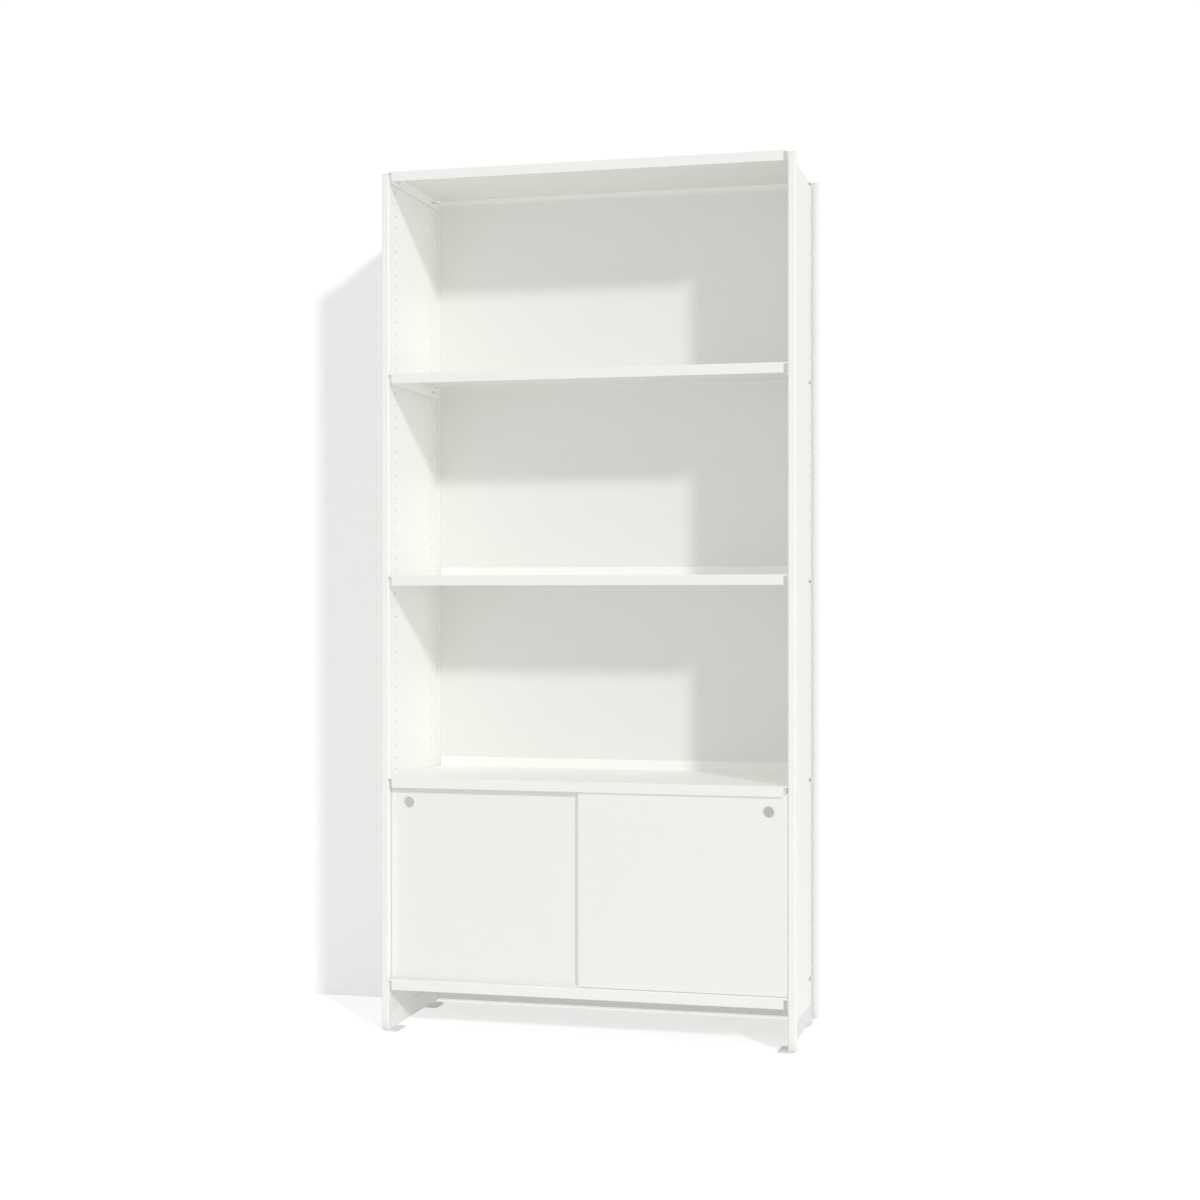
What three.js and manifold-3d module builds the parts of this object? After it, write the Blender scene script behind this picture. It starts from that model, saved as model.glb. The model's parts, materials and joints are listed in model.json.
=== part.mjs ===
// Sheet-steel bookcase with a sliding-door cabinet in its lowest bay.
// Millimetres, +Z up. The front faces -Y and the origin lies on the floor under the middle.
import * as THREE from 'three';
import { mergeVertices } from 'three/addons/utils/BufferGeometryUtils.js';
import Module from 'manifold-3d';

const wasm = await Module();
wasm.setup();

// Overall layout
const BAY_WIDTH = 1016; // clear width between the posts
const OVERALL_DEPTH = 400; // front of the shelf lips to the rear of the posts
const BOTTOM_DECK_HEIGHT = 132; // floor to the top of the lowest shelf
const HOLE_PITCH = 30; // height step of the punched rows
const PITCHES_PER_BAY = 17;
const CABINET_FLOOR_LEVEL = 0;
const CABINET_TOP_LEVEL = 1;
const TOP_LEVEL = 4;

// Foot plates, posts and their caps
const FOOT_PLATE_THICKNESS = 5;
const FOOT_PLATE_DEPTH = 60;
const FOOT_PLATE_PROUD = 3; // in front of the front post
const FOOT_PLATE_SETBACK = 18; // from a rear plate to the rear post behind it
const FOOT_PLATE_REACH = 24; // how far a plate shows inside the posts
const FOOT_PLATE_CORNER = 3;
const POST_WIDTH = 20;
const POST_WALL = 1.5;
const POST_CORNER = 3;
const FRONT_POST_DEPTH = 25;
const REAR_POST_DEPTH = 15;
const REAR_POST_STEP = 6; // the rear posts are this much wider, towards the bay
const REAR_POST_SWELL = 3; // how far their outer edge swells forward
const SWELL_SLOPE_WIDTH = 6; // from the side sheet to where the slope meets the swell
const SWELL_BEND = 15; // radius where they meet
const REAR_FLOOR_GAP = 10; // below the rear posts and the plinth panel
const LIP_PROUD = 6; // the lips stand this far in front of the posts
const POST_TOP_DROP = 4; // the posts end this far below the top deck
const CAP_THICKNESS = 2;
const CAP_PLUG_LENGTH = 10;
const FIT_CLEARANCE = 0.3; // between a plug or pin and the hole around it

// Side sheets and base rails
const SIDE_SHEET_INSET = 1; // from the posts' inner faces to the sheet
const SIDE_SHEET_THICKNESS = 2;
const SIDE_SHEET_TOP_DROP = 4; // below the posts' tops
const BASE_RAIL_HEIGHT = 42;
const BASE_RAIL_THICKNESS = 1;
const FRONT_ROW_INSET = 26.5; // punched row behind the front post
const REAR_ROW_INSET = 42.5; // punched row in front of the rear post
const HOLE_SIDES = 6;
const DECK_TO_HOLE = 14; // a deck's top lies this far above a hole

// Shelf pins
const PIN_RADIUS = 2.2;
const PIN_HEAD_RADIUS = 6;
const PIN_HEAD_HEIGHT = 4;
const PIN_HEAD_CHAMFER = 1;
const PIN_PROTRUSION = 10; // past the shelf's end flange
const PIN_SIDES = 10;

// Shelves
const SHELF_SHEET = 1.5;
const SHELF_BEND = 2; // outer radius of every fold
const SHELF_END_CLEARANCE = 1.5;
const SHELF_REAR_CLEARANCE = 0.5;
const LIP_HEIGHT = 26;
const LIP_RETURN = 6;
const LIP_STUB = 4; // lip height left above the corner notch
const CORNER_NOTCH = 8;
const UPSTAND_HEIGHT = 26;
const TOP_REAR_FLANGE = 15;
const END_FLANGE_HEIGHT = 28;
const END_FLANGE_SETBACK = 8; // behind the lip's face
const SLOT_LENGTH = 38;
const BEND_STEPS = 2; // facets of a rounded fold

// Back panels
const BACK_SHEET = 1;
const BACK_BEND = 1.5;
const BACK_RECESS = 2; // behind the rear posts' front faces
const BACK_SIDE_CLEARANCE = 0.3;
const BACK_JOINT = 1; // gap between neighbouring panels

// Sliding doors and their tracks
const DOOR_SETBACK = 9; // front door's face behind the lip
const DOOR_THICKNESS = 10;
const DOOR_GAP = 4; // between the two doors
const DOOR_OVERLAP = 30;
const DOOR_SIDE_CLEARANCE = 1.5;
const DOOR_SHEET = 1.2;
const DOOR_BEND = 2;
const DOOR_FLOOR_GAP = 1; // door to the bottom track
const DOOR_TOP_DROP = 17.5; // door's top below the deck of the cabinet's top
const DOOR_SKIRT = 11; // bottom flange above the door's lower edge
const GUIDE_SEAT_DEPTH = 10; // top flange below the door's upper edge
const FINGER_HOLE_RADIUS = 14;
const FINGER_HOLE_INSET = 46; // from the door's outer and upper edges
const FINGER_HOLE_SIDES = 24;
const TRACK_BASE = 1.5;
const TRACK_WALL = 1.5;
const DOOR_LANES = 2; // the upper track has one wall more than this
const TRACK_WALL_HEIGHT = 18.5;
const TRACK_END_CLEARANCE = 0.5; // to the shelf's end flanges
const RIB_WIDTH = 2;
const RIB_HEIGHT = 5.5;
const SHOE_LENGTH = 30;
const SHOE_END_INSET = 12; // from the door's side edge
const SHOE_SIDE_CLEARANCE = 0.4;
const GUIDE_TOP_CLEARANCE = 2;

const OVERRUN = 5; // how far a cutting body passes the faces it cuts

// Places worked out from the sizes above
const HALF_BAY = BAY_WIDTH / 2;
const HALF_WIDTH = HALF_BAY + POST_WIDTH;
const BAY_RISE = PITCHES_PER_BAY * HOLE_PITCH;
const deckTop = (level) => BOTTOM_DECK_HEIGHT + level * BAY_RISE;
const fromFront = (distance) => distance - OVERALL_DEPTH / 2;
const POST_TOP = deckTop(TOP_LEVEL) - POST_TOP_DROP;
const POST_TUBE_TOP = POST_TOP - CAP_THICKNESS;
const FRONT_POST_FRONT = LIP_PROUD;
const FRONT_POST_REAR = FRONT_POST_FRONT + FRONT_POST_DEPTH;
const REAR_POST_FRONT = OVERALL_DEPTH - REAR_POST_DEPTH;
const SIDE_SHEET_OUTER = HALF_BAY + SIDE_SHEET_INSET + SIDE_SHEET_THICKNESS;
const PIN_ROWS = [FRONT_POST_REAR + FRONT_ROW_INSET, REAR_POST_FRONT - REAR_ROW_INSET].map(fromFront);
const PIN_HOLE_RADIUS = PIN_RADIUS + FIT_CLEARANCE; // to the flats of a punched hole, and in the slots
const SHELF_HALF = HALF_BAY - SHELF_END_CLEARANCE;
const SHELF_REAR = fromFront(REAR_POST_FRONT - SHELF_REAR_CLEARANCE);
const SHELF_FLANGE_REAR = SHELF_REAR - SHELF_BEND - SHELF_SHEET;
const TRACK_RUNNING = (DOOR_GAP - TRACK_WALL) / 2;
const TRACK_PITCH = DOOR_THICKNESS + DOOR_GAP;
const TRACK_FRONT = DOOR_SETBACK - TRACK_RUNNING - TRACK_WALL;
const TRACK_REAR = TRACK_FRONT + DOOR_LANES * TRACK_PITCH + TRACK_WALL;
const TRACK_HALF = SHELF_HALF - SHELF_SHEET - TRACK_END_CLEARANCE;
const DOOR_EDGE = HALF_BAY - DOOR_SIDE_CLEARANCE;
const DOOR_WIDTH = DOOR_EDGE + DOOR_OVERLAP / 2;
const DOOR_BOTTOM = deckTop(CABINET_FLOOR_LEVEL) + TRACK_BASE + DOOR_FLOOR_GAP;
const DOOR_HEIGHT = deckTop(CABINET_TOP_LEVEL) - DOOR_TOP_DROP - DOOR_BOTTOM;
const PAN_CENTRE = (DOOR_SHEET + DOOR_THICKNESS) / 2; // middle of the space behind a door's face

// Finishes
const coated = (color) => new THREE.MeshStandardMaterial({ color, roughness: 0.55, metalness: 0 });
const FINISH = {
  frame: () => coated('#f1f2ed'),
  shelf: () => coated('#f1f2ec'),
  back: () => coated('#eeefe9'),
  door: () => coated('#efefe9'),
  track: () => new THREE.MeshStandardMaterial({ color: '#d6d7d4', roughness: 0.4, metalness: 0.8 }),
  plate: () => new THREE.MeshStandardMaterial({ color: '#c9cac8', roughness: 0.6, metalness: 0.1 }),
  nylon: () => new THREE.MeshStandardMaterial({ color: '#e6e6e0', roughness: 0.5, metalness: 0 }),
  pin: () => new THREE.MeshStandardMaterial({ color: '#4a4b49', roughness: 0.5, metalness: 0.4 }),
};

// Turns a closed three.js geometry into a solid that can be joined and cut.
function solid(geometry) {
  const bare = geometry.clone();
  bare.deleteAttribute('normal');
  bare.deleteAttribute('uv');
  const merged = mergeVertices(bare);
  const corners = merged.index.array;
  const kept = [];
  for (let i = 0; i < corners.length; i += 3) {
    const [a, b, c] = [corners[i], corners[i + 1], corners[i + 2]];
    if (a !== b && b !== c && c !== a) kept.push(a, b, c);
  }
  return new wasm.Manifold(new wasm.Mesh({
    numProp: 3,
    vertProperties: new Float32Array(merged.attributes.position.array),
    triVerts: new Uint32Array(kept),
  }));
}

function namedMesh(name, body, material) {
  const { vertProperties, triVerts } = body.getMesh();
  const geometry = new THREE.BufferGeometry();
  geometry.setAttribute('position', new THREE.BufferAttribute(vertProperties, 3));
  geometry.setIndex(new THREE.BufferAttribute(triVerts, 1));
  geometry.computeVertexNormals();
  const mesh = new THREE.Mesh(geometry, material);
  mesh.name = name;
  return mesh;
}

// A block between two corners, whichever way round each pair of coordinates is given.
function block(...spans) {
  const sorted = spans.map((span) => [...span].sort((a, b) => a - b));
  const geometry = new THREE.BoxGeometry();
  const { position } = geometry.attributes;
  for (let i = 0; i < position.count; i += 1) {
    const corner = sorted.map((span, axis) => span[position.getComponent(i, axis) > 0 ? 1 : 0]);
    position.setXYZ(i, ...corner);
  }
  return solid(geometry);
}

const ALONG_X = new THREE.Vector3(1, 0, 0);
const ALONG_Y = new THREE.Vector3(0, 1, 0);
const ALONG_Z = new THREE.Vector3(0, 0, 1);
const EXTRUDE_BASIS = {
  x: new THREE.Matrix4().makeBasis(ALONG_Y, ALONG_Z, ALONG_X),
  y: new THREE.Matrix4().makeBasis(ALONG_Z, ALONG_X, ALONG_Y),
  z: new THREE.Matrix4(),
};

// Extrudes a shape along X, Y or Z, drawn in the plane YZ, ZX or XY.
function extrude(shape, axis, [from, to]) {
  const geometry = new THREE.ExtrudeGeometry(shape, { depth: to - from, bevelEnabled: false });
  geometry.translate(0, 0, from);
  geometry.applyMatrix4(EXTRUDE_BASIS[axis]);
  return solid(geometry);
}

// The points of an outline whose corners [x, y, radius] are rounded where a radius is given.
function roundedCorners(corners) {
  return corners.flatMap(([x, y, radius], i) => {
    const corner = new THREE.Vector2(x, y);
    if (!radius) return [corner];
    const [before, after] = [corners.at(i - 1), corners[(i + 1) % corners.length]];
    const back = new THREE.Vector2(before[0], before[1]).sub(corner).normalize();
    const ahead = new THREE.Vector2(after[0], after[1]).sub(corner).normalize();
    const half = Math.acos(back.dot(ahead)) / 2;
    const start = corner.clone().addScaledVector(back, radius / Math.tan(half));
    const hub = back.clone().add(ahead).setLength(radius / Math.sin(half)).add(corner);
    const turn = Math.sign(ahead.cross(back)) * (Math.PI - 2 * half);
    return Array.from({ length: BEND_STEPS + 1 }, (_, step) => (
      start.clone().rotateAround(hub, (turn * step) / BEND_STEPS)));
  });
}

function outline(corners) {
  return new THREE.Shape(roundedCorners(corners));
}

function rectangle([x0, x1], [y0, y1], radius) {
  return [[x0, y0, radius], [x1, y0, radius], [x1, y1, radius], [x0, y1, radius]];
}

const between = (...ends) => ends.sort((a, b) => a - b);

// A pan of folded sheet, its face at y = 0 and its sides turned back, with the given pockets
// behind the face and a flange across wherever two pockets leave one.
function pan({ width, height, depth, sheet, bend, pockets }) {
  const section = (half, front, rear, radius) => (
    outline([[-half, front, radius], [half, front, radius], [half, rear], [-half, rear]]));
  const inner = section(width / 2 - sheet, sheet, depth + OVERRUN, bend - sheet);
  return pockets.reduce(
    (body, span) => body.subtract(extrude(inner, 'z', span)),
    extrude(section(width / 2, 0, depth, bend), 'z', [0, height]));
}

// The rolled section of a front post on the right, drawn in from its faces by the given distance.
function frontPostSection(inset) {
  return rectangle(
    [HALF_BAY + inset, HALF_WIDTH - inset],
    [fromFront(FRONT_POST_FRONT) + inset, fromFront(FRONT_POST_REAR) - inset],
    POST_CORNER - Math.min(inset, POST_WALL));
}

// The same of a rear post: wider towards the bay, its face swelling forward outside the side sheet.
function rearPostSection(inset) {
  const [inner, outer] = [HALF_BAY - REAR_POST_STEP + inset, HALF_WIDTH - inset];
  const [front, rear] = [fromFront(REAR_POST_FRONT) + inset, fromFront(OVERALL_DEPTH) - inset];
  const corner = POST_CORNER - Math.min(inset, POST_WALL);
  const slopeStart = SIDE_SHEET_OUTER + FIT_CLEARANCE;
  return [
    [inner, front, corner],
    [slopeStart, front],
    [slopeStart + SWELL_SLOPE_WIDTH, front - REAR_POST_SWELL, SWELL_BEND],
    [outer, front - REAR_POST_SWELL, corner],
    [outer, rear, corner],
    [inner, rear, corner],
  ];
}

// A post's outline on its own side, turning the same way on both.
function postOutline({ section, side }, inset) {
  const corners = section(inset).map(([x, y, radius]) => [side * x, y, radius]);
  return roundedCorners(side > 0 ? corners : corners.reverse());
}

function post(name, kind) {
  const shape = new THREE.Shape(postOutline(kind, 0));
  shape.holes.push(new THREE.Path(postOutline(kind, POST_WALL)));
  return namedMesh(name, extrude(shape, 'z', [kind.bottom, POST_TUBE_TOP]), FINISH.frame());
}

// A cap that closes the post's top, with a plug down into the tube.
function postCap(name, kind) {
  const plug = new THREE.Shape(postOutline(kind, POST_WALL + FIT_CLEARANCE));
  const cover = extrude(new THREE.Shape(postOutline(kind, 0)), 'z', [POST_TUBE_TOP, POST_TOP]);
  const plugSpan = [POST_TUBE_TOP - CAP_PLUG_LENGTH, POST_TUBE_TOP + CAP_THICKNESS / 2];
  return namedMesh(name, cover.add(extrude(plug, 'z', plugSpan)), FINISH.frame());
}

function footPlate(name, side, ySpan) {
  const xSpan = between(side * (HALF_BAY - FOOT_PLATE_REACH), side * (HALF_BAY + POST_WIDTH / 2));
  const shape = outline(rectangle(xSpan, ySpan, FOOT_PLATE_CORNER));
  return namedMesh(name, extrude(shape, 'z', [0, FOOT_PLATE_THICKNESS]), FINISH.plate());
}

// The punched side sheet, with two rows of holes at the shelf pitch from its foot to its top.
function sideSheet(name, side) {
  const bottom = FOOT_PLATE_THICKNESS + BASE_RAIL_HEIGHT;
  const top = POST_TOP - SIDE_SHEET_TOP_DROP;
  const depth = [fromFront(FRONT_POST_REAR), fromFront(REAR_POST_FRONT)];
  const shape = outline(rectangle(depth, [bottom, top]));
  const corner = PIN_HOLE_RADIUS / Math.cos(Math.PI / HOLE_SIDES);
  const firstHole = deckTop(CABINET_FLOOR_LEVEL) - DECK_TO_HOLE;
  const holesBelow = Math.floor((firstHole - 2 * corner - bottom) / HOLE_PITCH);
  for (const row of PIN_ROWS) {
    for (let z = firstHole - holesBelow * HOLE_PITCH; z + 2 * corner < top; z += HOLE_PITCH) {
      const rim = Array.from({ length: HOLE_SIDES }, (_, i) => (
        new THREE.Vector2(corner, 0).rotateAround(new THREE.Vector2(), (2 * Math.PI * i) / HOLE_SIDES)));
      shape.holes.push(new THREE.Path(rim.map((point) => point.add(new THREE.Vector2(row, z)))));
    }
  }
  const thickness = between(side * (HALF_BAY + SIDE_SHEET_INSET), side * SIDE_SHEET_OUTER);
  return namedMesh(name, extrude(shape, 'x', thickness), FINISH.frame());
}

function baseRail(name, side) {
  const inner = side * (HALF_BAY + SIDE_SHEET_INSET);
  const body = block(
    [inner, inner + side * BASE_RAIL_THICKNESS],
    [fromFront(FRONT_POST_REAR), fromFront(REAR_POST_FRONT)],
    [FOOT_PLATE_THICKNESS, FOOT_PLATE_THICKNESS + BASE_RAIL_HEIGHT]);
  return namedMesh(name, body, FINISH.frame());
}

// A headed pin, pushed in from outside through a side sheet and a shelf's end flange.
function shelfPin(name, side, row, level) {
  const reach = SIDE_SHEET_OUTER - SHELF_HALF + SHELF_SHEET + PIN_PROTRUSION;
  const profile = [
    [0, -PIN_HEAD_HEIGHT],
    [PIN_HEAD_RADIUS - PIN_HEAD_CHAMFER, -PIN_HEAD_HEIGHT],
    [PIN_HEAD_RADIUS, PIN_HEAD_CHAMFER - PIN_HEAD_HEIGHT],
    [PIN_HEAD_RADIUS, 0],
    [PIN_RADIUS, 0],
    [PIN_RADIUS, reach],
    [0, reach],
  ].map(([radius, along]) => new THREE.Vector2(radius, along));
  const geometry = new THREE.LatheGeometry(profile, PIN_SIDES);
  geometry.rotateZ(side * Math.PI / 2);
  const mesh = namedMesh(name, solid(geometry), FINISH.pin());
  mesh.position.set(side * SIDE_SHEET_OUTER, row, deckTop(level) - DECK_TO_HOLE);
  return mesh;
}

// The outer side section of a shelf: lip, end flange and rear edge, which turns up or down.
function shelfSection(upstand) {
  const front = fromFront(0);
  const innerFold = SHELF_BEND - SHELF_SHEET;
  const rearEdge = upstand
    ? [
      [SHELF_FLANGE_REAR, -END_FLANGE_HEIGHT],
      [SHELF_FLANGE_REAR, -SHELF_SHEET],
      [SHELF_REAR, -SHELF_SHEET, SHELF_BEND],
      [SHELF_REAR, UPSTAND_HEIGHT],
      [SHELF_REAR - SHELF_SHEET, UPSTAND_HEIGHT],
      [SHELF_REAR - SHELF_SHEET, 0, innerFold],
    ]
    : [
      [SHELF_FLANGE_REAR, -END_FLANGE_HEIGHT],
      [SHELF_FLANGE_REAR, -TOP_REAR_FLANGE],
      [SHELF_REAR, -TOP_REAR_FLANGE],
      [SHELF_REAR, 0, SHELF_BEND],
    ];
  return outline([
    [front, 0, SHELF_BEND],
    [front, -LIP_HEIGHT],
    [front + LIP_RETURN, -LIP_HEIGHT],
    [front + LIP_RETURN, -END_FLANGE_HEIGHT],
    ...rearEdge,
  ]);
}

// The space under a shelf's deck, which leaves the sheet's thickness all round.
function shelfHollow(upstand) {
  const front = fromFront(SHELF_SHEET);
  const returnEnd = fromFront(LIP_RETURN);
  const rear = upstand ? SHELF_REAR + OVERRUN : SHELF_REAR - SHELF_SHEET;
  const open = -END_FLANGE_HEIGHT - OVERRUN;
  const section = outline([
    [front, -SHELF_SHEET, SHELF_BEND - SHELF_SHEET],
    [front, SHELF_SHEET - LIP_HEIGHT],
    [returnEnd, SHELF_SHEET - LIP_HEIGHT],
    [returnEnd, open],
    [rear, open],
    [rear, -SHELF_SHEET],
  ]);
  return extrude(section, 'x', [SHELF_SHEET - SHELF_HALF, SHELF_HALF - SHELF_SHEET]);
}

// The slots in both end flanges of a shelf, each with its pin at the middle.
function pinSlots() {
  const cutters = PIN_ROWS.map((row) => {
    const length = [row - SLOT_LENGTH / 2, row + SLOT_LENGTH / 2];
    const height = [-DECK_TO_HOLE - PIN_HOLE_RADIUS, PIN_HOLE_RADIUS - DECK_TO_HOLE];
    const shape = outline(rectangle(length, height, PIN_HOLE_RADIUS));
    return extrude(shape, 'x', [-SHELF_HALF - OVERRUN, SHELF_HALF + OVERRUN]);
  });
  return cutters[0].add(cutters[1]);
}

// What is cut from one end of a shelf: the two corner reliefs and the round of the end fold.
function shelfEndCuts(side, upstand, reliefDepth) {
  const notch = side * (SHELF_HALF - CORNER_NOTCH);
  const beyond = side * (SHELF_HALF + OVERRUN);
  const frontRelief = block(
    [notch, beyond],
    [fromFront(-OVERRUN), fromFront(reliefDepth)],
    [-END_FLANGE_HEIGHT - OVERRUN, -LIP_STUB]);
  const rearRelief = block(
    [notch, beyond],
    [SHELF_FLANGE_REAR, SHELF_REAR + OVERRUN],
    upstand ? [-END_FLANGE_HEIGHT, UPSTAND_HEIGHT + OVERRUN] : [-END_FLANGE_HEIGHT, -SHELF_BEND]);
  const shelfDepth = [fromFront(-OVERRUN), SHELF_REAR + OVERRUN];
  const beforeFold = side * (SHELF_HALF - SHELF_BEND);
  const roundedEnd = outline([
    [-SHELF_BEND - OVERRUN, beforeFold],
    [0, beforeFold],
    [0, side * SHELF_HALF, SHELF_BEND],
    [-SHELF_BEND - OVERRUN, side * SHELF_HALF],
  ]);
  const foldRound = block([beforeFold, beyond], shelfDepth, [-SHELF_BEND, OVERRUN])
    .subtract(extrude(roundedEnd, 'y', [shelfDepth[0] - OVERRUN, shelfDepth[1] + OVERRUN]));
  return [frontRelief, rearRelief, foldRound];
}

// One tray shelf of folded sheet, hung on its four pins.
function shelf(name, level, { upstand, reliefDepth }) {
  const body = [-1, 1]
    .flatMap((side) => shelfEndCuts(side, upstand, reliefDepth))
    .reduce(
      (tray, cut) => tray.subtract(cut),
      extrude(shelfSection(upstand), 'x', [-SHELF_HALF, SHELF_HALF]).subtract(shelfHollow(upstand)));
  const mesh = namedMesh(name, body.subtract(pinSlots()), FINISH.shelf());
  mesh.position.z = deckTop(level);
  return mesh;
}

function backPanel(name, [bottom, top]) {
  const height = top - bottom;
  const body = pan({
    width: 2 * (HALF_BAY - REAR_POST_STEP - BACK_SIDE_CLEARANCE),
    height,
    depth: REAR_POST_DEPTH - BACK_RECESS,
    sheet: BACK_SHEET,
    bend: BACK_BEND,
    pockets: [[BACK_SHEET, height - BACK_SHEET]],
  });
  const mesh = namedMesh(name, body, FINISH.back());
  mesh.position.set(0, fromFront(REAR_POST_FRONT + BACK_RECESS), bottom);
  return mesh;
}

// The upper track: a flat under the deck with three walls down, which make a channel per door.
function topTrack() {
  const ceiling = deckTop(CABINET_TOP_LEVEL) - SHELF_SHEET;
  const root = ceiling - TRACK_BASE;
  const foot = root - TRACK_WALL_HEIGHT;
  const profile = Array.from({ length: DOOR_LANES + 1 }, (_, wall) => {
    const front = fromFront(TRACK_FRONT + wall * TRACK_PITCH);
    const rear = front + TRACK_WALL;
    return [[front, root], [front, foot], [rear, foot], [rear, root]];
  }).flat();
  profile[0][1] = ceiling;
  profile.at(-1)[1] = ceiling;
  const body = extrude(outline(profile), 'x', [-TRACK_HALF, TRACK_HALF]);
  return namedMesh('door_top_track', body, FINISH.track());
}

// The lower track: a flat on the deck with one rib under each door.
function bottomTrack() {
  const floor = deckTop(CABINET_FLOOR_LEVEL);
  const root = floor + TRACK_BASE;
  const ribs = [1, 0].flatMap((lane) => {
    const middle = fromFront(DOOR_SETBACK + lane * TRACK_PITCH + PAN_CENTRE);
    const [front, rear] = [middle - RIB_WIDTH / 2, middle + RIB_WIDTH / 2];
    return [[rear, root], [rear, root + RIB_HEIGHT], [front, root + RIB_HEIGHT], [front, root]];
  });
  const [front, rear] = [fromFront(TRACK_FRONT), fromFront(TRACK_REAR)];
  const profile = outline([[front, floor], [rear, floor], [rear, root], ...ribs, [front, root]]);
  const body = extrude(profile, 'x', [-TRACK_HALF, TRACK_HALF]);
  return namedMesh('door_bottom_track', body, FINISH.track());
}

// The way of the bottom track's rib through a door's lower edge.
function ribGroove(halfLength) {
  const half = RIB_WIDTH / 2 + SHOE_SIDE_CLEARANCE;
  return block(
    [-halfLength - OVERRUN, halfLength + OVERRUN],
    [PAN_CENTRE - half, PAN_CENTRE + half],
    [-OVERRUN, RIB_HEIGHT - DOOR_FLOOR_GAP + FIT_CLEARANCE]);
}

// One door: a pan with a round finger hole near its outer top corner.
function doorPanel(name, side) {
  const body = pan({
    width: DOOR_WIDTH,
    height: DOOR_HEIGHT,
    depth: DOOR_THICKNESS,
    sheet: DOOR_SHEET,
    bend: DOOR_BEND,
    pockets: [
      [-OVERRUN, DOOR_SKIRT],
      [DOOR_SKIRT + DOOR_SHEET, DOOR_HEIGHT - GUIDE_SEAT_DEPTH - DOOR_SHEET],
      [DOOR_HEIGHT - GUIDE_SEAT_DEPTH, DOOR_HEIGHT + OVERRUN],
    ],
  });
  const hole = new THREE.CylinderGeometry(
    FINGER_HOLE_RADIUS, FINGER_HOLE_RADIUS, 2 * DOOR_THICKNESS, FINGER_HOLE_SIDES);
  hole.translate(side * (DOOR_WIDTH / 2 - FINGER_HOLE_INSET), 0, DOOR_HEIGHT - FINGER_HOLE_INSET);
  const cut = body.subtract(solid(hole)).subtract(ribGroove(DOOR_WIDTH / 2));
  return namedMesh(name, cut, FINISH.door());
}

// The space across a door's folded edge that a shoe or guide fills, with its running clearance.
const FITTING_SPAN = [DOOR_SHEET + SHOE_SIDE_CLEARANCE, DOOR_THICKNESS - SHOE_SIDE_CLEARANCE];

// A shoe in the door's lower edge, grooved to ride on the rib.
function doorShoe(name) {
  const half = SHOE_LENGTH / 2;
  const body = block([-half, half], FITTING_SPAN, [0, DOOR_SKIRT]).subtract(ribGroove(half));
  return namedMesh(name, body, FINISH.nylon());
}

// A guide in the door's upper edge, with a wide head that runs in the track's channel.
function doorGuide(name) {
  const half = SHOE_LENGTH / 2;
  const [front, rear] = FITTING_SPAN;
  const spread = TRACK_RUNNING - SHOE_SIDE_CLEARANCE;
  const seat = DOOR_HEIGHT - GUIDE_SEAT_DEPTH;
  const neck = DOOR_HEIGHT + FIT_CLEARANCE;
  const crown = DOOR_HEIGHT + DOOR_TOP_DROP - SHELF_SHEET - TRACK_BASE - GUIDE_TOP_CLEARANCE;
  const profile = outline([
    [front, seat],
    [rear, seat],
    [rear, neck],
    [DOOR_THICKNESS + spread, neck],
    [DOOR_THICKNESS + spread, crown],
    [-spread, crown],
    [-spread, neck],
    [front, neck],
  ]);
  return namedMesh(name, extrude(profile, 'x', [-half, half]), FINISH.nylon());
}

// A door with its two shoes and two guides, hung in the front or the rear lane.
function door(label, side, lane) {
  const group = new THREE.Group();
  group.add(doorPanel(`${label}_door`, side));
  const reach = DOOR_WIDTH / 2 - SHOE_END_INSET - SHOE_LENGTH / 2;
  for (const [place, x] of [['outer', side * reach], ['inner', -side * reach]]) {
    const shoe = doorShoe(`${label}_door_${place}_shoe`);
    const guide = doorGuide(`${label}_door_${place}_guide`);
    shoe.position.x = x;
    guide.position.x = x;
    group.add(shoe, guide);
  }
  group.position.set(
    side * (DOOR_EDGE - DOOR_WIDTH / 2),
    fromFront(DOOR_SETBACK + lane * TRACK_PITCH),
    DOOR_BOTTOM);
  return group;
}

// One side frame: two posts with caps and foot plates, the punched sheet and the base rail.
function sideFrame(label, side) {
  const group = new THREE.Group();
  const front = { side, section: frontPostSection, bottom: FOOT_PLATE_THICKNESS };
  const rear = { side, section: rearPostSection, bottom: REAR_FLOOR_GAP };
  const plateFront = fromFront(FRONT_POST_FRONT - FOOT_PLATE_PROUD);
  const plateRear = fromFront(REAR_POST_FRONT - FOOT_PLATE_SETBACK);
  group.add(
    post(`${label}_front_post`, front),
    post(`${label}_rear_post`, rear),
    postCap(`${label}_front_post_cap`, front),
    postCap(`${label}_rear_post_cap`, rear),
    footPlate(`${label}_front_foot_plate`, side, [plateFront, plateFront + FOOT_PLATE_DEPTH]),
    footPlate(`${label}_rear_foot_plate`, side, [plateRear - FOOT_PLATE_DEPTH, plateRear]),
    sideSheet(`${label}_side_sheet`, side),
    baseRail(`${label}_base_rail`, side));
  return group;
}

const bookcase = new THREE.Group();
bookcase.name = 'bookcase';
const SIDES = [['left', -1], ['right', 1]];
const SHELF_NAMES = [
  'cabinet_floor_shelf', 'cabinet_top_shelf', 'middle_shelf', 'upper_shelf', 'top_shelf'];
const BACK_NAMES = ['plinth', 'cabinet', 'lower', 'middle', 'upper'];

for (const [label, side] of SIDES) bookcase.add(sideFrame(label, side));

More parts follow.
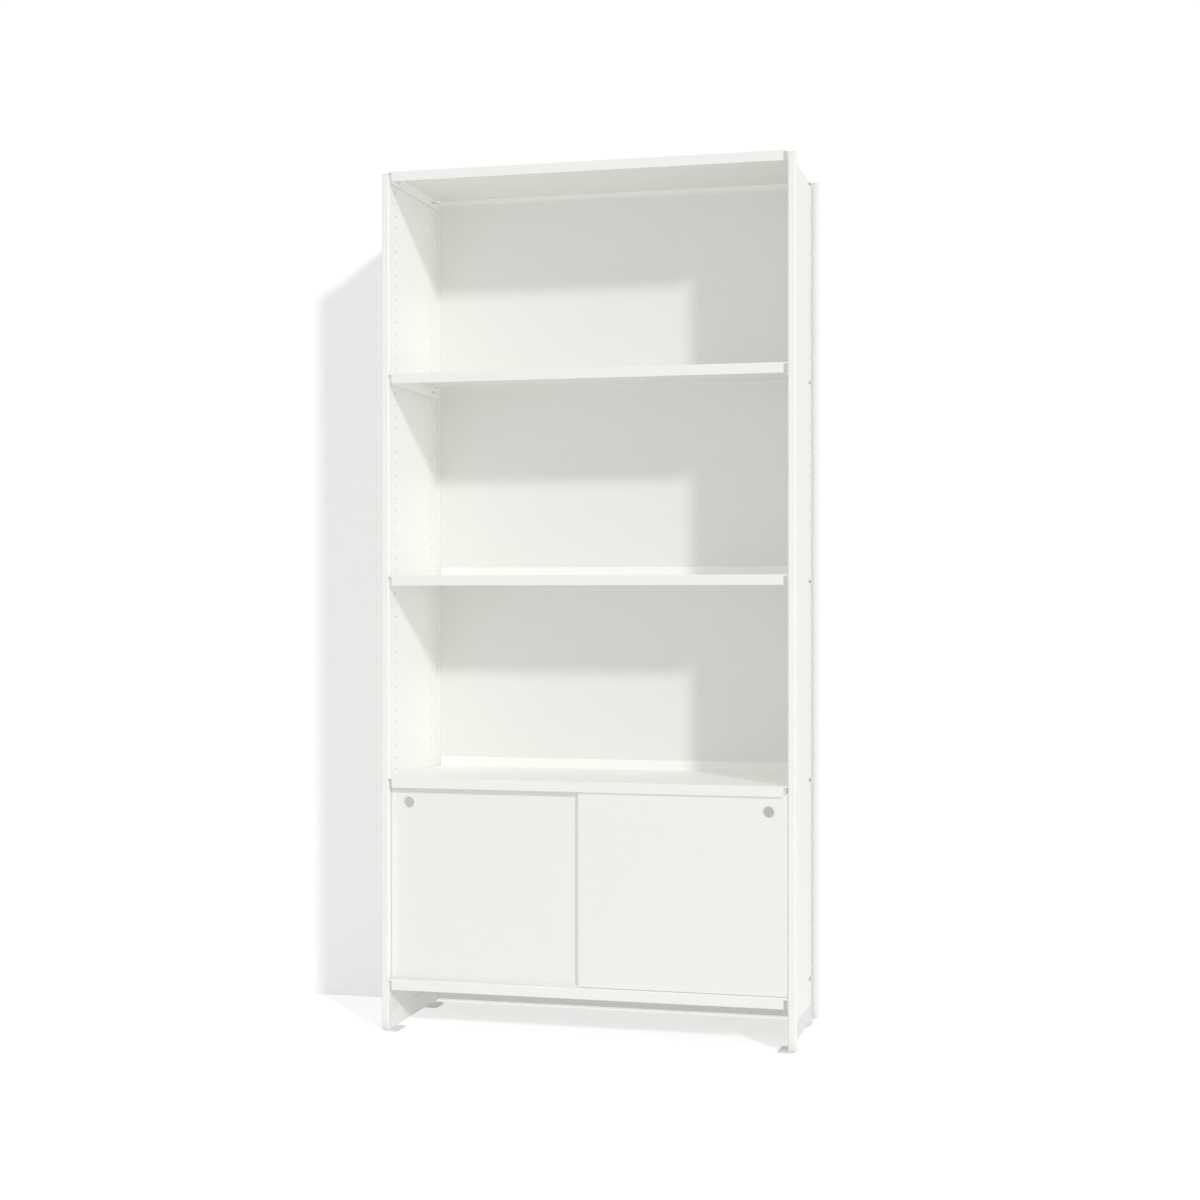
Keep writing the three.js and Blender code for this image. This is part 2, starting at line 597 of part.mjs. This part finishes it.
SHELF_NAMES.forEach((name, level) => {
  const overTrack = level === CABINET_TOP_LEVEL;
  const reliefDepth = overTrack ? TRACK_REAR + TRACK_END_CLEARANCE : END_FLANGE_SETBACK;
  bookcase.add(shelf(name, level, { upstand: level < TOP_LEVEL, reliefDepth }));
  for (const [label, side] of SIDES) {
    PIN_ROWS.forEach((row, i) => {
      bookcase.add(shelfPin(`${name}_${label}_${i ? 'rear' : 'front'}_pin`, side, row, level));
    });
  }
});

BACK_NAMES.forEach((name, i) => {
  const bottom = i === 0 ? REAR_FLOOR_GAP : deckTop(i - 1) + BACK_JOINT / 2;
  const top = i === TOP_LEVEL ? POST_TOP : deckTop(i) - BACK_JOINT / 2;
  bookcase.add(backPanel(`${name}_back_panel`, [bottom, top]));
});

bookcase.add(topTrack(), bottomTrack());
bookcase.add(door('left', -1, 1), door('right', 1, 0));

export default bookcase;
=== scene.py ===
import json
import math

import bpy
import numpy as np
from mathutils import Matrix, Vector


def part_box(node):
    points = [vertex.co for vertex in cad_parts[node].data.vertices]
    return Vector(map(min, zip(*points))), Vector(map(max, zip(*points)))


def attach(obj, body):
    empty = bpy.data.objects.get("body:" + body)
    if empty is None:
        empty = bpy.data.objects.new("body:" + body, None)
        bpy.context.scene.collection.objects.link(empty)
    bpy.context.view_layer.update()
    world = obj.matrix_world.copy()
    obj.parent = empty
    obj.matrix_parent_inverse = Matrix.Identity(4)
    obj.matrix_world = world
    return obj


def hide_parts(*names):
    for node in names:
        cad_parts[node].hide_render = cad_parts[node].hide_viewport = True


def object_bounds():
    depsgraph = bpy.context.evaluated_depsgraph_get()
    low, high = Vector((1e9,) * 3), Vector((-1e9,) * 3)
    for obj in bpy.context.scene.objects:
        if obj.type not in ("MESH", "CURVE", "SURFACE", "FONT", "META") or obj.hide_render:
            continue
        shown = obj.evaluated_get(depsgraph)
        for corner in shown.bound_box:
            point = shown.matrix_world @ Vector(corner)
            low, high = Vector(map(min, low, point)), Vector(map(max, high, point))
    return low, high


# The looks of a sheet-steel bookcase: powder coat, turned pins, rolled finger holes, floor, wall and light.
# Metres, +Z up. The front faces -Y, as in the frame.

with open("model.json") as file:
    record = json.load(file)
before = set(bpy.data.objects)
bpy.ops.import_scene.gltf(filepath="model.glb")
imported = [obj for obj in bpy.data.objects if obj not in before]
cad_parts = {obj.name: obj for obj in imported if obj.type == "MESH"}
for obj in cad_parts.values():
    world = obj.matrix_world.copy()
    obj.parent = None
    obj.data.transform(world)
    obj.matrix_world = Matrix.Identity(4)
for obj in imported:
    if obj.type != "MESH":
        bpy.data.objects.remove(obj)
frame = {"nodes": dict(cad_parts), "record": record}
cad_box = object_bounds()
nodes = frame["nodes"]

MM = 0.001
SHEET_INNER, SHEET_OUTER = (corner.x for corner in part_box("right_side_sheet"))
SHEET_THICKNESS = SHEET_OUTER - SHEET_INNER
RAIL_INNER, RAIL_OUTER = (corner.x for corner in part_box("right_base_rail"))

# Widths of the patterns in the finishes, and how deep they reach
PEEL_WAVE = 5 * MM  # orange peel is 1 to 2 mm wide on the real coat, drawn coarser so that it shows
PEEL_DEPTH = 0.06 * MM
SPECKLE_WAVE = 2.5 * MM  # the real specks are finer than 1 mm, drawn coarser
SHEET_WAVE = 170 * MM  # how far apart rolled sheet swells and sinks
SHEET_DEPTH = 0.4 * MM
OUTER_SHADE_REACH = 34 * MM  # how far from corners outside the bays the painted shade reaches
BAY_SHADE_REACH = 120 * MM  # and from the corners inside the bays
SCALE_CLOUD = 12 * MM  # clouds of mill scale
SCALE_DEPTH = 0.1 * MM
OXIDE_CLOUD = 3 * MM  # clouds of oxide, two or three across a pin's head
DIE_LINE = 1.2 * MM  # die lines are 0.2 to 0.5 mm apart on real extrusions, drawn coarser
DIE_STRETCH = 0.02  # a line runs on for fifty times its spacing
DIE_DEPTH = 0.03 * MM
SPARK = 0.8 * MM  # spark texture is 0.1 to 0.3 mm wide on real mouldings, drawn coarser
SPARK_DEPTH = 0.03 * MM
NYLON_GLOW = 2 * MM  # how far light wanders inside the nylon

# Octaves of the noise: each one more adds detail of half the width
SMOOTH = 1.0
SOFT = 2.0
GRAINY = 3.0
CLOUDY = 4.0

# Looks of the coats and metals
COAT_IOR = 1.5
SPECKLE_LOW = 0.3  # the noise below this has the first tint only
SPECKLE_HIGH = 0.7  # and above this the second one only
GLOSS_SPREAD = 0.06  # how far a pattern moves the roughness up and down
OXIDE_SMOOTH = 0.34
OXIDE_ROUGH = 0.5
FRAME_TINTS = ("#f5f6f2", "#f2f3ef")
FRAME_ROUGHNESS = 0.41
# Painted shade near corners: the grey outside the side sheets, and the lighter grey in the bays
FRAME_CORNER_SHADE = ("#c9cac6", "#e2e3df")

# Edges rounded in the shading: the outer radius of a fold, and the broken edge of a cut plate
EDGE_ROUND = 2 * MM
PLATE_EDGE_ROUND = 0.75 * MM
EDGE_SAMPLES = 4
CORNER_SAMPLES = 8

# Turned pins
PIN_SIDES = 40
PIN_HEAD_RADIUS = 4.2 * MM
PIN_HEAD_HEIGHT = 4 * MM
PIN_SHANK_RADIUS = 2.2 * MM
PIN_EDGE = 1 * MM  # radius of the head's rim, and length of the lead-in
PIN_LEAD_IN = 0.5 * MM  # how much the lead-in narrows
PIN_CROWN = 0.5 * MM
PIN_CROWN_START = 0.05  # share of the crown's radius at its first ring, round a small flat
PIN_RIM_START = 80  # degrees at which the crown runs into the rim

# Rolled collars of the finger holes
HOLE_RADIUS = 14 * MM
HOLE_INSET = 46 * MM  # from the door's outer and upper edges
COLLAR_ROLL = 1.1 * MM
COLLAR_PROUD = 0.1 * MM  # ahead of the door's face, and as far behind it at its rim
COLLAR_WALL = 0.8 * MM
SLEEVE_START = 1.4 * MM  # where the rolled rim has become a sleeve in the hole
SLEEVE_PLAY = 0.05 * MM
COLLAR_DEPTH = 6 * MM
COLLAR_SIDES = 96

ARC_STEPS = 8
SHARP_ANGLE = 40  # degrees between faces past which an edge is shaded sharp

# Floor and wall
BACKDROP_REACH = 12.0
WALL_GAP = 10 * MM
FLOOR_BOUNCE = "#e8e8e8"  # the floor as the object and the lamps see it
FLOOR_GLOW = 0.22  # what lifts the floor to white in the eye
WALL_GLOW = 0.08

# The fitted camera: millimetres, metres and degrees
LENS = 60
LENS_FRAME = 36
LENS_PLACE = (1.247, -4.965, 1.090)
LENS_TURN = 14.17

# Strengths of the sky and of the lamps. Only the key lamp throws shadows; the fills reach into the
# hollows too, where an even sky doesn't.
SKY = 0.54
KEY = 1.09
KEY_TRAVEL = (-0.583, 0.696, -0.418)
KEY_SOFTNESS = 4.5
FILL_FRONT = 0.38
FILL_RIGHT = 0.54
FILL_LEFT = 0.4
FILL_TOP = 0.5
FILL_BELOW = 0.13
FILL_REAR = 1.15


def colour(code):
    """An sRGB hex value as linear RGBA."""
    shares = [int(code[i:i + 2], 16) / 255 for i in (1, 3, 5)]
    linear = [s / 12.92 if s <= 0.04045 else ((s + 0.055) / 1.055) ** 2.4 for s in shares]
    return (*linear, 1.0)


WHITE = colour("#ffffff")


def add(tree, kind, sockets=None, **settings):
    """Adds a node with its settings, and gives each named socket a value or a link."""
    node = tree.nodes.new("ShaderNode" + kind)
    for key, value in settings.items():
        setattr(node, key, value)
    for key, value in (sockets or {}).items():
        if isinstance(value, bpy.types.NodeSocket):
            tree.links.new(value, node.inputs[key])
        else:
            node.inputs[key].default_value = value
    return node


def finish_of(name, sockets):
    """A new material with a Principled shader; returns it with its tree and shader."""
    material = bpy.data.materials.new(name)
    material.use_nodes = True
    shader = material.node_tree.nodes["Principled BSDF"]
    for key, value in sockets.items():
        shader.inputs[key].default_value = value
    return material, material.node_tree, shader


def from_middle(tree, place):
    """The distance |x| of a surface point from the bookcase's middle plane."""
    across = add(tree, "SeparateXYZ", {"Vector": place})
    return add(tree, "Math", {0: across.outputs["X"]}, operation="ABSOLUTE").outputs[0]


def powder_coat(name, tints, roughness, corner_shade=None, band=None):
    """Polyester powder baked on sheet steel: satin, with an orange peel that frets its highlights,
    a faint speckle of two tints, and the slow swell of thin sheet in wide reflections. Where an occlusion
    test finds corners and hollows close by, the colour is mixed towards a greyer one, which is painted
    shade: the first of the pair of greys outside the side sheets, and the second, lighter, in the bays.
    A band (centre, half, paint) has another colour where |x| lies within half of centre."""
    material, tree, shader = finish_of(name, {"IOR": COAT_IOR})
    place = add(tree, "TexCoord").outputs["Object"]
    peel = add(tree, "TexNoise", {"Vector": place, "Scale": 1 / PEEL_WAVE, "Detail": SOFT})
    speckle = add(tree, "TexNoise", {"Vector": place, "Scale": 1 / SPECKLE_WAVE, "Detail": GRAINY})
    swell = add(tree, "TexNoise", {"Vector": place, "Scale": 1 / SHEET_WAVE, "Detail": SMOOTH})
    blend = add(tree, "MapRange", {
        "Value": speckle.outputs["Fac"], "From Min": SPECKLE_LOW, "From Max": SPECKLE_HIGH})
    tone = add(tree, "Mix", {
        "Factor": blend.outputs["Result"], "A": colour(tints[0]), "B": colour(tints[1])}, data_type="RGBA")
    # Painted shade: near corners and hollows the colour goes towards a grey
    if corner_shade:
        bay = add(tree, "Math", {0: from_middle(tree, place), 1: (SHEET_INNER + SHEET_OUTER) / 2},
                  operation="LESS_THAN")
        reach = add(tree, "MapRange", {
            "Value": bay.outputs[0], "To Min": OUTER_SHADE_REACH, "To Max": BAY_SHADE_REACH})
        shade_grey = add(tree, "Mix", {"Factor": bay.outputs[0], "A": colour(corner_shade[0]), "B": colour(corner_shade[1])},
                   data_type="RGBA")
        corner = add(tree, "AmbientOcclusion", {"Distance": reach.outputs["Result"]},
                     samples=CORNER_SAMPLES)
        tone = add(tree, "Mix", {
            "Factor": corner.outputs["AO"], "A": shade_grey.outputs["Result"], "B": tone.outputs["Result"]},
            data_type="RGBA")
    if band:
        centre, half, paint = band
        within = add(tree, "Math", {0: from_middle(tree, place), 1: centre, 2: half}, operation="COMPARE")
        tone = add(tree, "Mix", {
            "Factor": within.outputs[0], "A": tone.outputs["Result"], "B": colour(paint)}, data_type="RGBA")
    gloss = add(tree, "MapRange", {
        "Value": peel.outputs["Fac"],
        "To Min": roughness - GLOSS_SPREAD, "To Max": roughness + GLOSS_SPREAD})
    edge = add(tree, "Bevel", {"Radius": EDGE_ROUND}, samples=EDGE_SAMPLES)
    wave = add(tree, "Bump", {
        "Height": swell.outputs["Fac"], "Distance": SHEET_DEPTH, "Normal": edge.outputs["Normal"]})
    skin = add(tree, "Bump", {
        "Height": peel.outputs["Fac"], "Distance": PEEL_DEPTH, "Normal": wave.outputs["Normal"]})
    tree.links.new(tone.outputs["Result"], shader.inputs["Base Color"])
    tree.links.new(gloss.outputs["Result"], shader.inputs["Roughness"])
    tree.links.new(skin.outputs["Normal"], shader.inputs["Normal"])
    return material


def grey_plate_coat():
    """Thin grey primer on hot-rolled plate: matt, with the faint cloud of mill scale under it."""
    material, tree, shader = finish_of("grey_primed_plate", {"IOR": COAT_IOR, "Roughness": 0.6})
    place = add(tree, "TexCoord").outputs["Object"]
    cloud = add(tree, "TexNoise", {"Vector": place, "Scale": 1 / SCALE_CLOUD, "Detail": CLOUDY})
    tone = add(tree, "Mix", {
        "Factor": cloud.outputs["Fac"], "A": colour("#e6e7e5"), "B": colour("#dcdddb")}, data_type="RGBA")
    edge = add(tree, "Bevel", {"Radius": PLATE_EDGE_ROUND}, samples=EDGE_SAMPLES)
    grain = add(tree, "Bump", {
        "Height": cloud.outputs["Fac"], "Distance": SCALE_DEPTH, "Normal": edge.outputs["Normal"]})
    tree.links.new(tone.outputs["Result"], shader.inputs["Base Color"])
    tree.links.new(grain.outputs["Normal"], shader.inputs["Normal"])
    return material


def oxidised_steel():
    """Turned steel under a thin oxide: the head grey with a dull metal sheen, clouded where the oxide is
    uneven, and the shank inside the side sheets a lighter grey, which is painted light where it sits in
    shade."""
    material, tree, shader = finish_of("oxidised_turned_steel", {"Metallic": 0.35})
    place = add(tree, "TexCoord").outputs["Object"]
    oxide = add(tree, "TexNoise", {"Vector": place, "Scale": 1 / OXIDE_CLOUD, "Detail": GRAINY})
    clouds = add(tree, "Mix", {
        "Factor": oxide.outputs["Fac"], "A": colour("#b2b3b0"), "B": colour("#a3a4a1")}, data_type="RGBA")
    head = add(tree, "Math", {0: from_middle(tree, place), 1: SHEET_OUTER}, operation="GREATER_THAN")
    # The shank's lighter grey is painted light, for the shade inside the bays
    tone = add(tree, "Mix", {
        "Factor": head.outputs[0], "A": colour("#d1d2cf"), "B": clouds.outputs["Result"]}, data_type="RGBA")
    rough = add(tree, "MapRange", {
        "Value": oxide.outputs["Fac"], "To Min": OXIDE_SMOOTH, "To Max": OXIDE_ROUGH})
    tree.links.new(tone.outputs["Result"], shader.inputs["Base Color"])
    tree.links.new(rough.outputs["Result"], shader.inputs["Roughness"])
    return material


def drawn_aluminium(name, tint, roughness):
    """Aluminium as the die leaves it: a silvery, matt sheen, brushed by fine lines along its length."""
    material, tree, shader = finish_of(name, {"Metallic": 1.0, "Base Color": colour(tint)})
    place = add(tree, "TexCoord").outputs["Object"]
    along = add(tree, "Mapping", {"Vector": place, "Scale": (DIE_STRETCH, 1.0, 1.0)})
    lines = add(tree, "TexNoise", {"Vector": along.outputs["Vector"], "Scale": 1 / DIE_LINE, "Detail": SOFT})
    rough = add(tree, "MapRange", {
        "Value": lines.outputs["Fac"],
        "To Min": roughness - GLOSS_SPREAD, "To Max": roughness + GLOSS_SPREAD})
    drawn = add(tree, "Bump", {"Height": lines.outputs["Fac"], "Distance": DIE_DEPTH})
    tree.links.new(rough.outputs["Result"], shader.inputs["Roughness"])
    tree.links.new(drawn.outputs["Normal"], shader.inputs["Normal"])
    return material


def moulded_nylon():
    """Natural nylon from a mould: milky off-white, slightly translucent, with a fine spark texture."""
    material, tree, shader = finish_of("moulded_nylon", {
        "IOR": 1.53, "Roughness": 0.45, "Base Color": colour("#e6e6e0"),
        "Subsurface Weight": 0.15, "Subsurface Scale": NYLON_GLOW})
    place = add(tree, "TexCoord").outputs["Object"]
    spark = add(tree, "TexNoise", {"Vector": place, "Scale": 1 / SPARK, "Detail": SOFT})
    skin = add(tree, "Bump", {"Height": spark.outputs["Fac"], "Distance": SPARK_DEPTH})
    tree.links.new(skin.outputs["Normal"], shader.inputs["Normal"])
    return material


# One finish for each of the record's material slots
FINISHES = {
    "frame_enamel": powder_coat("powder_coated_frame", FRAME_TINTS, FRAME_ROUGHNESS, corner_shade=FRAME_CORNER_SHADE),
    "shelf_enamel": powder_coat("powder_coated_shelf", ("#f3f4f0", "#f0f1ed"), roughness=0.46),
    # The back panels' coat is a darker copy of the enamel: painted shade against the light that bounces
    # round the bays
    "back_enamel": powder_coat("powder_coated_back", ("#e7e8e4", "#e4e5e1"), roughness=0.5),
    "door_enamel": powder_coat("powder_coated_door", ("#f1f2ee", "#eeefeb"), roughness=0.44),
    "foot_plate_steel": grey_plate_coat(),
    "shelf_pin_steel": oxidised_steel(),
    "track_aluminium": drawn_aluminium("anodised_extrusion", "#dfe0df", roughness=0.55),
    "runner_nylon": moulded_nylon(),
}

# The side sheets' band is painted shade on the walls of the punched holes: it lies in the outer half
# of their thickness, a hair under the face, so that only the edges of the punched holes have it. The
# base rails' band is their outer half, a cooler, darker grey.
SHEET_PAINT = powder_coat(
    "powder_coated_side_sheet", FRAME_TINTS, FRAME_ROUGHNESS, corner_shade=FRAME_CORNER_SHADE,
    band=(SHEET_OUTER - SHEET_THICKNESS / 4, SHEET_THICKNESS / 5, "#a5a6a2"))
RAIL_PAINT = powder_coat(
    "powder_coated_base_rail", ("#f3f4f0", "#f0f1ed"), roughness=0.5,
    band=(RAIL_OUTER, (RAIL_OUTER - RAIL_INNER) / 2, "#e3e4e5"))
# The plinth panel's coat is a lighter copy of the panels' coat: painted light for the shade under the
# cabinet
PLINTH_PAINTED_LIGHT = powder_coat("powder_coated_plinth_painted_light", ("#f6f7f3", "#f3f4f0"), roughness=0.5)
# The rear posts' coat is a darker copy of the frame's coat: painted shade
REAR_POST_PAINTED_SHADE = powder_coat(
    "powder_coated_rear_post_painted_shade", ("#eff0ec", "#ecede9"), roughness=0.45, corner_shade=FRAME_CORNER_SHADE)
# The upper track is a darker, rougher copy of the extrusion; its darker grey is painted shade for the nook
# behind the lip
NOOK_TRACK_PAINTED_SHADE = drawn_aluminium("rough_extrusion_painted_shade", "#d0d1cf", roughness=0.6)
OWN_FINISH = {
    "left_side_sheet": SHEET_PAINT,
    "right_side_sheet": SHEET_PAINT,
    "left_base_rail": RAIL_PAINT,
    "right_base_rail": RAIL_PAINT,
    "left_rear_post": REAR_POST_PAINTED_SHADE,
    "right_rear_post": REAR_POST_PAINTED_SHADE,
    "plinth_back_panel": PLINTH_PAINTED_LIGHT,
    "door_top_track": NOOK_TRACK_PAINTED_SHADE,
}


def dress_nodes():
    """Gives every node of the frame its own finish, or else the one that the record names for it. The
    side sheets have painted shade on the edges of their punched holes. The rear posts are a shade greyer,
    painted shade, and the base rails are a cooler, darker grey on their outer halves. The plinth panel is
    painted lighter than the other panels, painted light for the shade under the cabinet, and the upper
    track, in the nook behind the lip, is a darker, rougher extrusion, its darker grey painted shade."""
    for subpart in frame["record"]["subparts"]:
        mesh = nodes[subpart["node"]].data
        mesh.materials.clear()
        mesh.materials.append(OWN_FINISH.get(subpart["node"]) or FINISHES[subpart["material_slot"]])


def surface(name, rings, body, slot, looped=False):
    """A smooth mesh through rings of points, given as an array rings x points x 3. Point j of ring i joins
    its neighbours j + 1 (the last one back to the first) and the same points of ring i + 1. The end
    rings are capped, or when looped they join each other."""
    count, around, _ = rings.shape
    i, j = np.meshgrid(np.arange(count if looped else count - 1), np.arange(around), indexing="ij")
    onward, ahead = (i + 1) % count, (j + 1) % around
    quads = np.stack(
        [i * around + j, i * around + ahead, onward * around + ahead, onward * around + j], axis=-1)
    faces = quads.reshape(-1, 4).tolist()
    if not looped:
        faces += [list(range(around))[::-1], list(range((count - 1) * around, count * around))]
    mesh = bpy.data.meshes.new(name)
    mesh.from_pydata(rings.reshape(-1, 3).tolist(), [], faces)
    mesh.polygons.foreach_set("use_smooth", np.ones(len(mesh.polygons), bool))
    mesh.set_sharp_from_angle(angle=math.radians(SHARP_ANGLE))
    mesh.materials.append(FINISHES[slot])
    piece = bpy.data.objects.new(name, mesh)
    bpy.context.scene.collection.objects.link(piece)
    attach(piece, body)
    return piece


def arc(centre, radius, start, end):
    """Points (radius from the axis, distance along it) of an arc: centre + radius (cos t, sin t), where t
    runs evenly between the angles start and end, in degrees."""
    t = np.radians(np.linspace(start, end, ARC_STEPS + 1))
    return np.stack([centre[0] + radius * np.cos(t), centre[1] + radius * np.sin(t)], axis=-1)


def turned(profile, centre, axis, sides):
    """Rings of a turned form: each profile point (r, s) goes round the axis as
    centre + s axis + r (cos u p + sin u q), where p and q are square to the axis and u takes even steps."""
    axis = np.array(axis, float)
    p = np.roll(axis, 1)
    q = np.cross(axis, p)
    u = np.linspace(0, 2 * np.pi, sides, endpoint=False)
    circle = np.cos(u)[:, None] * p + np.sin(u)[:, None] * q
    return (np.array(centre)
            + profile[:, 1, None, None] * axis
            + profile[:, 0, None, None] * circle)


def shelf_pin(name):
    """A headed pin on the X axis: a crowned head with a rounded rim outside the sheet, then the shank
    and its short lead-in. Along the axis, 0 is where the head sits on the sheet, and the shank's tip
    is negative. The crown is a parabola, height = crown (1 - (r / rim)^2)."""
    low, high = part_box(name)
    side = 1 if low.x > 0 else -1
    seat = side * (max(abs(low.x), abs(high.x)) - PIN_HEAD_HEIGHT)
    tip = PIN_HEAD_HEIGHT - (high.x - low.x)
    rim = PIN_HEAD_RADIUS - PIN_EDGE
    across = np.linspace(PIN_CROWN_START, 1, ARC_STEPS)
    crown_height = PIN_HEAD_HEIGHT + PIN_CROWN * (1 - across ** 2)
    profile = np.concatenate([
        np.stack([rim * across, crown_height], axis=-1),
        arc((rim, PIN_HEAD_HEIGHT - PIN_EDGE), PIN_EDGE, PIN_RIM_START, 0),
        [[PIN_HEAD_RADIUS, 0], [PIN_SHANK_RADIUS, 0]],
        [[PIN_SHANK_RADIUS, tip + PIN_EDGE], [PIN_SHANK_RADIUS - PIN_LEAD_IN, tip]],
    ])
    middle = (low + high) / 2
    rings = turned(profile, (seat, middle.y, middle.z), (side, 0, 0), PIN_SIDES)
    piece = surface(name + "_turned", rings[::-1], "carcass", "shelf_pin_steel")
    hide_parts(name)


def finger_hole_collar(label):
    """The hole's rolled edge, turned about Y: a quarter round from the door's face into the hole, then
    a short sleeve back, with its own thickness."""
    side = 1 if label == "right" else -1
    low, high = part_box(f"{label}_door")
    outer = high.x if side > 0 else low.x
    bore = HOLE_RADIUS - COLLAR_WALL
    rim = bore + COLLAR_ROLL + COLLAR_WALL
    sleeve = HOLE_RADIUS - SLEEVE_PLAY
    profile = np.concatenate([
        arc((bore + COLLAR_ROLL, COLLAR_ROLL - COLLAR_PROUD), COLLAR_ROLL, 180, 270),
        [[rim, -COLLAR_PROUD], [rim, COLLAR_PROUD]],
        [[sleeve, SLEEVE_START], [sleeve, COLLAR_DEPTH]],
        [[bore, COLLAR_DEPTH]],
    ])
    centre = (outer - side * HOLE_INSET, low.y, high.z - HOLE_INSET)
    rings = turned(profile, centre, (0, 1, 0), COLLAR_SIDES)
    surface(f"{label}_door_finger_collar", rings, f"{label}_door", "door_enamel", looped=True)


def backdrop_sheet(name, corners, material):
    """A flat backdrop through four corners, outside the object."""
    mesh = bpy.data.meshes.new(name)
    mesh.from_pydata(corners, [], [(0, 1, 2, 3)])
    mesh.materials.append(material)
    piece = bpy.data.objects.new(name, mesh)
    bpy.context.scene.collection.objects.link(piece)


def backdrop_paint(name, glow, only_seen):
    """Matt white backdrop that reads white where the key light falls and keeps the object's shadow. From
    its back it isn't there, and with only_seen it throws no light on the object either."""
    material = bpy.data.materials.new(name)
    material.use_nodes = True
    tree = material.node_tree
    tree.nodes.clear()
    path = add(tree, "LightPath")
    side = add(tree, "NewGeometry")
    seen_paint = add(tree, "AddShader", {
        0: add(tree, "BsdfDiffuse", {"Color": WHITE}).outputs[0],
        1: add(tree, "Emission", {"Strength": glow}).outputs[0]})
    clear = add(tree, "BsdfTransparent").outputs[0]
    plain = clear if only_seen else add(tree, "BsdfDiffuse", {"Color": colour(FLOOR_BOUNCE)}).outputs[0]
    front = add(tree, "MixShader", {0: path.outputs["Is Camera Ray"], 1: plain, 2: seen_paint.outputs[0]})
    whole = add(tree, "MixShader", {0: side.outputs["Backfacing"], 1: front.outputs[0], 2: clear})
    add(tree, "OutputMaterial", {"Surface": whole.outputs[0]})
    return material


def set_backdrop():
    """A floor that ends at the wall, and a wall close behind the bookcase."""
    reach = BACKDROP_REACH
    back = cad_box[1].y + WALL_GAP
    backdrop_sheet(
        "floor", [(-reach, -reach, 0), (reach, -reach, 0), (reach, back, 0), (-reach, back, 0)],
        backdrop_paint("white_floor", FLOOR_GLOW, only_seen=False))
    backdrop_sheet(
        "wall", [(-reach, back, 0), (reach, back, 0), (reach, back, reach), (-reach, back, reach)],
        backdrop_paint("white_wall", WALL_GLOW, only_seen=True))


def set_sky():
    """An even white sky, seen as plain white by the eye, in reflections and through clear things."""
    world = bpy.data.worlds.new("studio")
    bpy.context.scene.world = world
    world.use_nodes = True
    tree = world.node_tree
    tree.nodes.clear()
    path = add(tree, "LightPath")
    seen = add(tree, "Math", {0: path.outputs["Is Camera Ray"], 1: path.outputs["Is Glossy Ray"]},
               operation="MAXIMUM")
    seen = add(tree, "Math", {0: seen.outputs[0], 1: path.outputs["Is Transmission Ray"]},
               operation="MAXIMUM")
    level = add(tree, "MapRange", {"Value": seen.outputs[0], "To Min": SKY})
    light = add(tree, "Background", {"Color": WHITE, "Strength": level.outputs["Result"]})
    add(tree, "OutputWorld", {"Surface": light.outputs[0]})


def sun(name, travel, strength, softness=0.0, shadow=True):
    """A distant lamp whose light travels along the given direction, softness degrees wide."""
    lamp = bpy.data.lights.new(name, "SUN")
    lamp.energy = strength
    lamp.angle = math.radians(softness)
    lamp.use_shadow = shadow
    holder = bpy.data.objects.new(name, lamp)
    holder.rotation_euler = Vector(travel).to_track_quat("-Z", "Y").to_euler()
    bpy.context.scene.collection.objects.link(holder)


def set_lamps():
    """A soft key lamp from above, in front and to the right, and a fill from each side."""
    sun("key", KEY_TRAVEL, KEY, softness=KEY_SOFTNESS)
    sun("fill_front", (0, 1, 0), FILL_FRONT, shadow=False)
    sun("fill_right", (-1, 0, 0), FILL_RIGHT, shadow=False)
    sun("fill_left", (1, 0, 0), FILL_LEFT, shadow=False)
    sun("fill_top", (0, 0, -1), FILL_TOP, shadow=False)
    sun("fill_below", (0, 0, 1), FILL_BELOW, shadow=False)
    sun("fill_rear", (0, -1, 0), FILL_REAR, shadow=False)


def set_camera():
    """A level camera in front of the bookcase and to its right, at mid height, turned to its middle."""
    lens = bpy.data.cameras.new("view")
    lens.lens = LENS
    lens.sensor_width = LENS_FRAME
    holder = bpy.data.objects.new("view", lens)
    holder.location = LENS_PLACE
    holder.rotation_euler = (math.radians(90), 0, math.radians(LENS_TURN))
    bpy.context.scene.collection.objects.link(holder)
    bpy.context.scene.camera = holder


dress_nodes()
for pin in [name for name in nodes if name.endswith("_pin")]:
    shelf_pin(pin)
finger_hole_collar("left")
finger_hole_collar("right")
set_backdrop()
set_sky()
set_lamps()
set_camera()
bpy.context.scene.view_settings.view_transform = "Standard"
